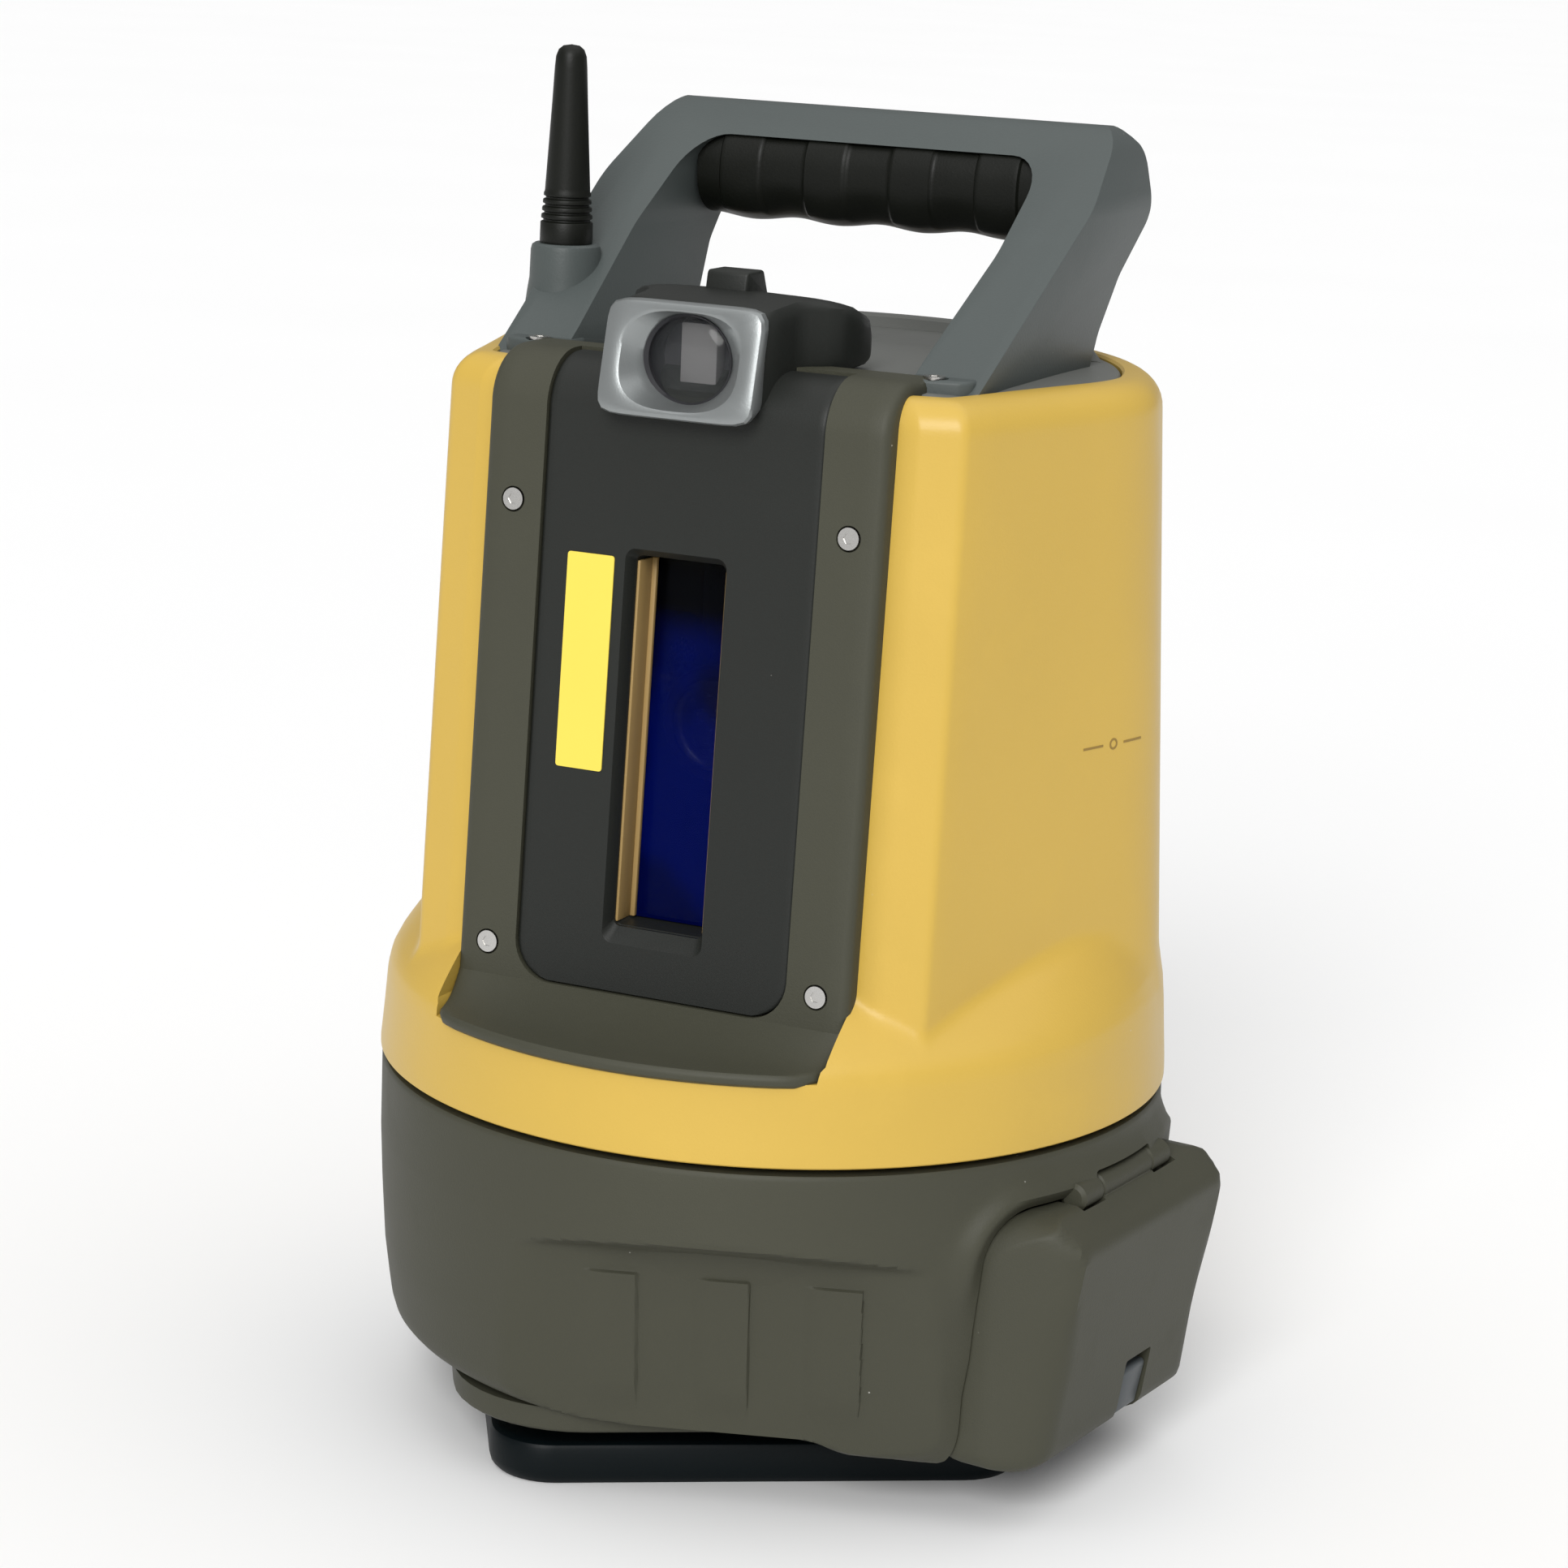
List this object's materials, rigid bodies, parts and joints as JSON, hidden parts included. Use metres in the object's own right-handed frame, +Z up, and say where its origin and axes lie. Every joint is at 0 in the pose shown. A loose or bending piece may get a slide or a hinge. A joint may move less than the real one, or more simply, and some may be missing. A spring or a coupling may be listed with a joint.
{
  "type": "terrestrial laser scanner",
  "caption": "Turning survey scanner on a self-levelling tripod base, with a tilting telescope behind a slot window, guide light, carrying handle, short antenna and battery door.",
  "frame": {"origin": "on the vertical axis at the underside of the foot, in the mouth of the tripod thread", "axes": "+Z up along the pan axis, the head looks towards -Y at rest, +X is on the right of someone looking at its front"},
  "size_m": [0.2009, 0.19, 0.3275],
  "materials": {
    "yellow_cover": "satin yellow paint on moulded plastic",
    "olive_cover": "fine-textured olive grey",
    "black_foot": "black anodised",
    "black_panel": "fine-grained black",
    "grey_handle": "satin grey",
    "grey_trim": "satin light grey",
    "top_plate": "satin grey",
    "rubber": "soft black",
    "tan_liner": "tan",
    "blue_glass": "deep blue filter",
    "clear_glass": "coated",
    "lens_glass": "coated",
    "label_yellow": "plain yellow",
    "steel": "ground steel",
    "aluminium": "machined",
    "brass": "machined",
    "motor_black": "black",
    "board": "green board",
    "green_light": "lit lens",
    "latch_grey": "blue grey"
  },
  "bodies": {
    "foot": {"foot_plate": "black_foot", "thread_insert": "brass", "gimbal_yoke": "aluminium"},
    "level_ring": {"gimbal_cross": "aluminium"},
    "base": {"base_housing": "olive_cover", "base_plate": "olive_cover", "base_frame": "aluminium", "pan_bearings": "steel", "pan_motor": "motor_black", "battery_bay": "motor_black", "battery_pack": "motor_black", "battery_contacts": "brass", "hinge_pin": "steel", "level_motors": "motor_black", "control_panel": "black_panel", "status_lights": "green_light", "data_port": "aluminium", "port_cap": "rubber", "seal_ring": "rubber"},
    "jack_x": {"level_jack_x": "steel"},
    "jack_y": {"level_jack_y": "steel"},
    "pan_pinion": {"pan_pinion": "brass"},
    "door": {"battery_door": "olive_cover"},
    "latch": {"battery_latch": "latch_grey"},
    "button": {"power_button": "grey_handle"},
    "head": {"spindle": "steel", "pan_gear": "brass", "encoder_disc": "aluminium", "head_frame": "aluminium", "head_shell": "yellow_cover", "front_frame": "olive_cover", "front_panel": "black_panel", "window_liner": "tan_liner", "window_glass": "blue_glass", "blank_label": "label_yellow", "front_screws": "steel", "top_screws": "steel", "top_cover": "top_plate", "light_housing": "black_panel", "light_bezel": "grey_trim", "light_lens": "clear_glass", "light_prism": "clear_glass", "sight_block": "black_panel", "handle": "grey_handle", "grip": "rubber", "antenna": "rubber", "tilt_bearings": "steel", "tilt_motor": "motor_black", "circuit_board": "board"},
    "telescope": {"telescope_barrel": "motor_black", "objective_lens": "lens_glass", "telescope_axle": "steel", "tilt_gear": "brass", "rangefinder": "motor_black"},
    "tilt_pinion": {"tilt_pinion": "brass"}
  },
  "joints": [
    {"name": "level_x", "type": "hinge", "parent": "foot", "child": "level_ring", "pos_m": [0, 0, 0.028], "axis": [1, 0, 0], "range_deg": [-2.5, 2.5]},
    {"name": "level_y", "type": "hinge", "parent": "level_ring", "child": "base", "pos_m": [0, 0, 0.028], "axis": [0, 1, 0], "range_deg": [-2.5, 2.5]},
    {"name": "level_jack_x_slide", "type": "slide", "parent": "base", "child": "jack_x", "axis": [0, 0, -1], "range_m": [-0.00242, 0.00242]},
    {"name": "level_jack_y_slide", "type": "slide", "parent": "base", "child": "jack_y", "axis": [0, 0, -1], "range_m": [-0.00242, 0.00242]},
    {"name": "head_pan", "type": "hinge", "parent": "base", "child": "head", "pos_m": [0, 0, 0.09], "axis": [0, 0, 1], "continuous": true},
    {"name": "pan_pinion_spin", "type": "hinge", "parent": "base", "child": "pan_pinion", "pos_m": [-0.01231, 0.03383, 0.08], "axis": [0, 0, 1], "continuous": true},
    {"name": "telescope_tilt", "type": "hinge", "parent": "head", "child": "telescope", "pos_m": [0, 0, 0.177], "axis": [1, 0, 0], "range_deg": [-25, 25]},
    {"name": "tilt_pinion_spin", "type": "hinge", "parent": "head", "child": "tilt_pinion", "pos_m": [0.04, 0.032, 0.177], "axis": [1, 0, 0], "range_deg": [-75.5, 75.5]},
    {"name": "battery_door_hinge", "type": "hinge", "parent": "base", "child": "door", "pos_m": [0.09398, -0.00988, 0.0775], "axis": [-0.1045, -0.9945, 0], "range_deg": [0, 90]},
    {"name": "battery_latch_slide", "type": "slide", "parent": "door", "child": "latch", "axis": [0, 0, 1], "range_m": [0, 0.0025], "stiffness_N_per_m": 400},
    {"name": "power_button_press", "type": "slide", "parent": "base", "child": "button", "axis": [0.9962, 0.0872, 0], "range_m": [0, 0.0012], "stiffness_N_per_m": 500}
  ],
  "couplings": [
    {"joint": "pan_pinion_spin", "follows": "head_pan", "ratio": -3.5},
    {"joint": "tilt_pinion_spin", "follows": "telescope_tilt", "ratio": -3},
    {"joint": "level_jack_x_slide", "follows": "level_x", "m_per_rad": 0.055},
    {"joint": "level_jack_y_slide", "follows": "level_y", "m_per_rad": 0.055}
  ]
}
